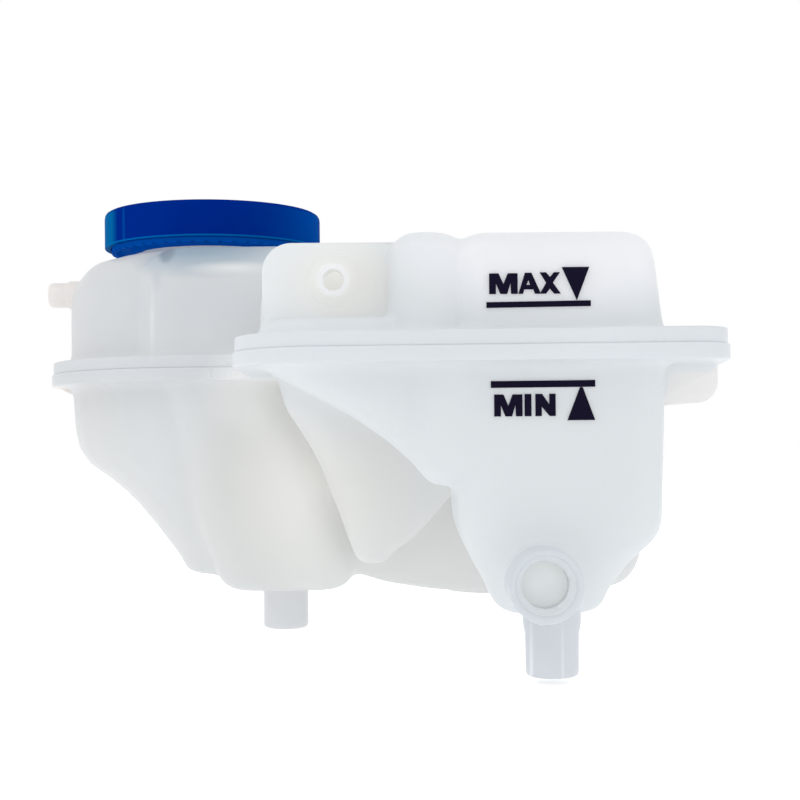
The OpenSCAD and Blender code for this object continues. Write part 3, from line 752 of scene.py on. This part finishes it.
# Painted highlights: the front wall is lighter at the left and the right, with a painted glint at the left,
# and a painted light line runs along the skirt's lower edge.
left = ((-0.78 - side) / 0.07).clamped()
right = ((side - 0.1) / 0.9).clamped()
painted_glint = blue.band(side, -0.706, 0.02) * 0.35
painted_low_edge_highlight = blue.band(blue.along(2), cover_low + 0.0004, 0.0005)
blue_tint = blue.blend(blue_cloud, (0.0, 0.014, 0.18), (0.0, 0.020, 0.21))
blue_tint = blue.blend(left * wall, blue_tint, (0.0, 0.10, 0.29))
blue_tint = blue.blend(right * right * right * wall, blue_tint, (0.0, 0.065, 0.34))
blue_tint = blue.blend(painted_glint * wall, blue_tint, (0.0, 0.11, 0.36))
blue_tint = blue.blend(painted_low_edge_highlight, blue_tint, (0.0, 0.12, 0.38))
blue_surface = blue.surface(blue.plastic(
    blue_tint, 0.28 + 0.1 * blue_cloud, IOR=1.01,
    Normal=blue.bump(blue.noise(700) * 0.3 + blue.noise(90), 0.0001, 0.25)
))
cover_top = bar_top - 0.003
cover_under = cover_top - 0.0032
skirt_in = cover_r - 0.0024
cover = as_object("cap_moulding", turned(eased([
    (0, cover_under), (skirt_in, cover_under), (skirt_in, cover_low), (cover_r, cover_low),
    (cover_r, cover_top, 0.0024), (0, cover_top)
], 0.0004), (neck.x, neck.y, 0), (0, 0, 1), steps=128))
cover.data.materials.append(blue_surface)
bar_half = 0.0235
bar_r = 0.0055
bar_root = 0.002
bar_ends = arc((bar_half, 0, 0), bar_r, -90, 90, 12) + arc((-bar_half, 0, 0), bar_r, 90, 270, 12)
bar = slab([bar_ends], (0, -1, 0), bar_top - cover_top + bar_root, 0.0009)
upright = Matrix.Rotation(math.radians(-90), 3, "X")
bmesh.ops.rotate(bar, verts=bar.verts, cent=(0, 0, 0), matrix=upright)
bmesh.ops.scale(bar, verts=[v for v in bar.verts if v.co.z > bar_root], vec=(0.8, 0.75, 1))
bmesh.ops.translate(bar, verts=bar.verts, vec=(neck.x, neck.y, cover_top - bar_root))
combined(cover, "UNION", blue_surface, bar)
fitted(cover, "cap_cover", "cap")


# The threaded ring is moulded of the same plastic in one piece with its rim of small notches, and
# is welded up into the cover. Its rim just shows under the cover's skirt.
dark = Finish("ring_blue_plastic")
dark_cloud = dark.noise(60, detail=3)
dark_tint = dark.blend(dark_cloud, (0.0, 0.035, 0.20), (0.0, 0.045, 0.24))
# The ring's emission is a painted glow, which makes its rim show lighter under the cover's skirt.
ring_surface = dark.surface(dark.plastic(
    dark_tint, 0.35 + 0.1 * dark_cloud, IOR=1.01, Emission_Color=dark_tint, Emission_Strength=0.7
))
nodes["threaded_ring"].data.materials.clear()
nodes["threaded_ring"].data.materials.append(ring_surface)


# The neck's gasket is a flat ring cut from rubber sheet. It lies on the neck's rim and is squeezed
# by the housing's flange when the cap is screwed down.
def turned_part(name, node, body, slot, surface, profile, *cuts):
    """A piece turned round the neck's axis, less the shapes that are cut from it."""
    piece = as_object(name, turned(profile, (neck.x, neck.y, 0), (0, 0, 1)))
    piece.data.materials.append(surface)
    combined(piece, "DIFFERENCE", surface, *cuts)
    fitted(piece, node, body)


def flat_ring(node, inner, reach):
    """The profile of a flat ring as wide and as high as the node, with an inner radius."""
    outer, low, top = span(node)
    middle = (inner + outer) / 2
    corners = [(middle, low), (outer, low), (outer, top), (inner, top), (inner, low), (middle, low)]
    return eased(corners, reach)


rubber = Finish("seal_rubber")
dust = rubber.noise(250, detail=4)
rubber_surface = rubber.surface(rubber.plastic(
    rubber.blend(dust, (0.012, 0.012, 0.012), (0.03, 0.03, 0.03)), 0.7 + 0.15 * dust,
    Normal=rubber.bump(dust, 0.00012, 0.5)
))
turned_part("gasket", "neck_gasket", "seal_ring", "seal_rubber", rubber_surface,
            flat_ring("neck_gasket", 0.0244, 0.0003))


# The valve housing is a black cup of glass-filled plastic that hangs in the neck by its flange. Two
# grooves round it take the O-rings, one inside it the snap ring, and its floor is the valve's seat.
black = Finish("housing_plastic")
fleck = black.noise(400, detail=4)
black_surface = black.surface(black.plastic(
    black.blend(fleck, (0.012, 0.012, 0.014), (0.03, 0.03, 0.034)), 0.45 + 0.15 * fleck,
    Normal=black.bump(fleck, 0.0001, 0.4)
))
flange_r, housing_low, flange_top = span("valve_housing")
cup_r = 0.0225
groove_r = 0.0206
cup_in = 0.0193
seat_in = 0.011
floor_top = housing_low + 0.0026
flange_low = flange_top - 0.0015
floor_middle = 0.016
groove_depth = 0.001
housing_walls = [(floor_middle, housing_low), (cup_r, housing_low)]
for ring_node in ("lower_o_ring", "housing_o_ring"):
    _, ring_low, ring_top = span(ring_node)
    housing_walls += [(cup_r, ring_low), (groove_r, ring_low), (groove_r, ring_top), (cup_r, ring_top)]
snap_r, snap_low, snap_top = span("snap_ring")
housing_walls += [
    (cup_r, flange_low), (flange_r, flange_low), (flange_r, flange_top), (cup_in, flange_top),
    (cup_in, snap_top), (cup_in + groove_depth, snap_top), (cup_in + groove_depth, snap_low),
    (cup_in, snap_low), (cup_in, floor_top), (seat_in, floor_top), (seat_in, housing_low),
    (floor_middle, housing_low)
]
turned_part("housing_cup", "valve_housing", "valve_insert", "housing_black", black_surface,
            eased(housing_walls, 0.0003))


# Two O-rings of rubber lie in the housing's grooves, one above the other. They are stretched over
# the housing by hand and seal it in the neck's bore.
for ring_node in ("housing_o_ring", "lower_o_ring"):
    ring_r, ring_low, ring_top = span(ring_node)
    section = (ring_top - ring_low) / 2
    circle = arc((ring_r - section, 0, ring_low + section), section, 0, 360, 18)
    turned_part(f"{ring_node}_round", ring_node, "valve_insert", "seal_rubber", rubber_surface,
                [(radius, height) for radius, _, height in circle])


# The spring seat is a plate punched from steel, with six holes through which the valve blows off.
# The pressure spring pushes it up against the snap ring.
steel = Finish("bright_steel")
drawn = steel.noise(120, detail=5)
steel_surface = steel.surface(steel.plastic(
    steel.blend(drawn, (0.55, 0.55, 0.56), (0.68, 0.68, 0.7)), 0.22 + 0.15 * drawn, Metallic=1.0
))


def hole_circle(radius, drill_r, node):
    """Six drills on a circle round the neck's axis, through the node's whole height."""
    past_end = 0.001
    low, top = span(node)[1] - past_end, span(node)[2] + past_end
    drill = [(0, low), (drill_r, low), (drill_r, top), (0, top)]
    turns = [math.radians(60 * count) for count in range(6)]
    return [
        turned(drill, (neck.x + radius * math.cos(turn), neck.y + radius * math.sin(turn), 0),
               (0, 0, 1), steps=24)
        for turn in turns
    ]


turned_part("seat_plate", "spring_seat", "valve_insert", "spring_steel", steel_surface,
            flat_ring("spring_seat", 0.006, 0.0003), *hole_circle(0.0092, 0.0016, "spring_seat"))


# The pressure plate is pressed from steel: a flat dish with a rim outside the spring, a collar round
# the vacuum valve's stem, and six small holes that lead air to the vacuum valve.
plate_r, plate_low, plate_top = span("pressure_plate")
dish = plate_low + 0.002
rim_top = plate_top - 0.0002
rim_in = plate_r - 0.0014
plate_middle = 0.01
collar_out = 0.0051
collar_in = 0.0025
turned_part(
    "plate_dish", "pressure_plate", "pressure_valve", "spring_steel", steel_surface,
    eased([(plate_middle, plate_low), (plate_r, plate_low), (plate_r, rim_top), (rim_in, rim_top),
           (rim_in, dish), (collar_out, dish), (collar_out, plate_top), (collar_in, plate_top),
           (collar_in, plate_low), (plate_middle, plate_low)], 0.0003),
    *hole_circle(0.00555, 0.0006, "pressure_plate")
)


# The pressure plate's seal is a flat ring cut from rubber sheet. It is bonded under the plate and
# closes on the housing's floor.
turned_part("plate_seal", "pressure_seal", "pressure_valve", "seal_rubber", rubber_surface,
            flat_ring("pressure_seal", 0.0104, 0.0002))


# The vacuum valve is turned from brass: a flat head under the plate and a stem with a small collar.
brass = Finish("turned_brass")
ring_marks = brass.noise(150, detail=4)
brass_surface = brass.surface(brass.plastic(
    brass.blend(ring_marks, (0.68, 0.48, 0.2), (0.8, 0.6, 0.3)), 0.25 + 0.15 * ring_marks, Metallic=1.0
))
head_r, head_low, stem_top = span("vacuum_valve")
head_top = head_low + 0.0014
stem_r = 0.0022
stem_collar_r = stem_r + 0.0004
clip_top = span("vacuum_clip")[2]
turned_part("valve_stem", "vacuum_valve", "vacuum_poppet", "valve_brass", brass_surface, eased([
    (0, head_low), (head_r, head_low), (head_r, head_top), (stem_r, head_top), (stem_r, clip_top),
    (stem_collar_r, clip_top), (stem_collar_r, stem_top), (0, stem_top)
], 0.0003))


# The vacuum valve's seal is a small ring cut from rubber sheet. It lies on the valve's head and
# closes against the pressure plate from below.
turned_part("stem_seal", "vacuum_seal", "vacuum_poppet", "seal_rubber", rubber_surface,
            flat_ring("vacuum_seal", stem_r, 0.0002))


# The clip is a small steel washer under the stem's collar. The vacuum valve's light spring pushes
# it up, and so holds the valve shut.
turned_part("stem_clip", "vacuum_clip", "vacuum_poppet", "spring_steel", steel_surface,
            flat_ring("vacuum_clip", stem_r, 0.0002))


# Both springs are wound of round steel wire, with a close turn at each end. The large one bears on
# the pressure plate and the small one on the clip, and each shortens as its valve opens.
def wound(shape, section, climbs, steps):
    """Winds a closed section of edges round the Z axis. Each climb is (turns, rise of one turn)."""
    geom = section
    for turns, climb in climbs:
        made = bmesh.ops.spin(shape, geom=geom, cent=(0, 0, 0), axis=(0, 0, 1), dvec=(0, 0, climb / steps),
                              angle=math.tau * turns, steps=round(steps * turns))
        geom = made["geom_last"]
    bmesh.ops.holes_fill(shape, edges=[edge for edge in shape.edges if edge.is_boundary], sides=0)
    bmesh.ops.recalc_face_normals(shape, faces=shape.faces)
    bmesh.ops.translate(shape, verts=shape.verts, vec=(neck.x, neck.y, 0))


def spring(name, node, body, radius, wire):
    """A spring as high as its node, with a mesh of its own."""
    turns = 4
    _, low, top = span(node)
    close = 2.3 * wire
    free = top - low - 2 * wire - 2 * close
    shape = bmesh.new()
    bmesh.ops.create_circle(shape, segments=12, radius=wire)
    on_edge = Matrix.Rotation(math.radians(90), 3, "X")
    bmesh.ops.rotate(shape, verts=shape.verts, cent=(0, 0, 0), matrix=on_edge)
    bmesh.ops.translate(shape, verts=shape.verts, vec=(radius, 0, low + wire))
    wound(shape, shape.verts[:] + shape.edges[:], [(1, close), (turns, free / turns), (1, close)], 40)
    piece = as_object(name, shape)
    piece.data.materials.append(steel_surface)
    fitted(piece, node, body)
    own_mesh(piece)


spring("pressure_coil", "pressure_spring", "valve_insert", radius=0.0124, wire=0.0009)
spring("vacuum_coil", "vacuum_spring", "pressure_valve", radius=0.0036, wire=0.00035)


# The snap ring is flat steel bent round to an open ring, sprung into the housing's groove above the
# spring seat.
snap_in = snap_r - 0.0025
snap_middle = snap_in + 0.001
snap_gap = 16
shape = bmesh.new()
flat = eased([(snap_middle, snap_low), (snap_r, snap_low), (snap_r, snap_top), (snap_in, snap_top),
              (snap_in, snap_low), (snap_middle, snap_low)], 0.0002)[:-1]
verts = [shape.verts.new((radius, 0, height)) for radius, height in flat]
edges = [shape.edges.new(pair) for pair in zip(verts, verts[1:] + verts[:1])]
wound(shape, verts + edges, [(1 - snap_gap / 360, 0)], 96)
to_right = Matrix.Rotation(math.radians(snap_gap / 2), 3, "Z")
bmesh.ops.rotate(shape, verts=shape.verts, cent=(neck.x, neck.y, 0), matrix=to_right)
snap = as_object("snap_flat_wire", shape)
snap.data.materials.append(steel_surface)
fitted(snap, "snap_ring", "valve_insert")


# The screw thread is a ridge moulded round the neck and another inside the cap's ring. Both climb
# 4 mm a turn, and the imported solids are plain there.
thread_pitch = 0.004
thread_low = drum_roof + 0.0025


def ridge(name, body, surface, root, tip, low, turns):
    """A thread with a blunt crest, from the root's radius to the tip's."""
    shape = bmesh.new()
    corners = [(root, -0.0011), (tip, -0.0005), (tip, 0.0005), (root, 0.0011)]
    verts = [shape.verts.new((radius, 0, low + height)) for radius, height in corners]
    edges = [shape.edges.new(pair) for pair in zip(verts, verts[1:] + verts[:1])]
    wound(shape, verts + edges, [(turns, thread_pitch)], 72)
    piece = as_object(name, shape)
    piece.data.materials.append(surface)
    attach(piece, body)


ridge("neck_thread", "tank", flange_wall, root=0.0279, tip=0.0296, low=thread_low, turns=1.6)
ridge("ring_thread", "cap", ring_surface, root=0.0306, tip=0.0288,
      low=thread_low + thread_pitch / 2, turns=1.2)
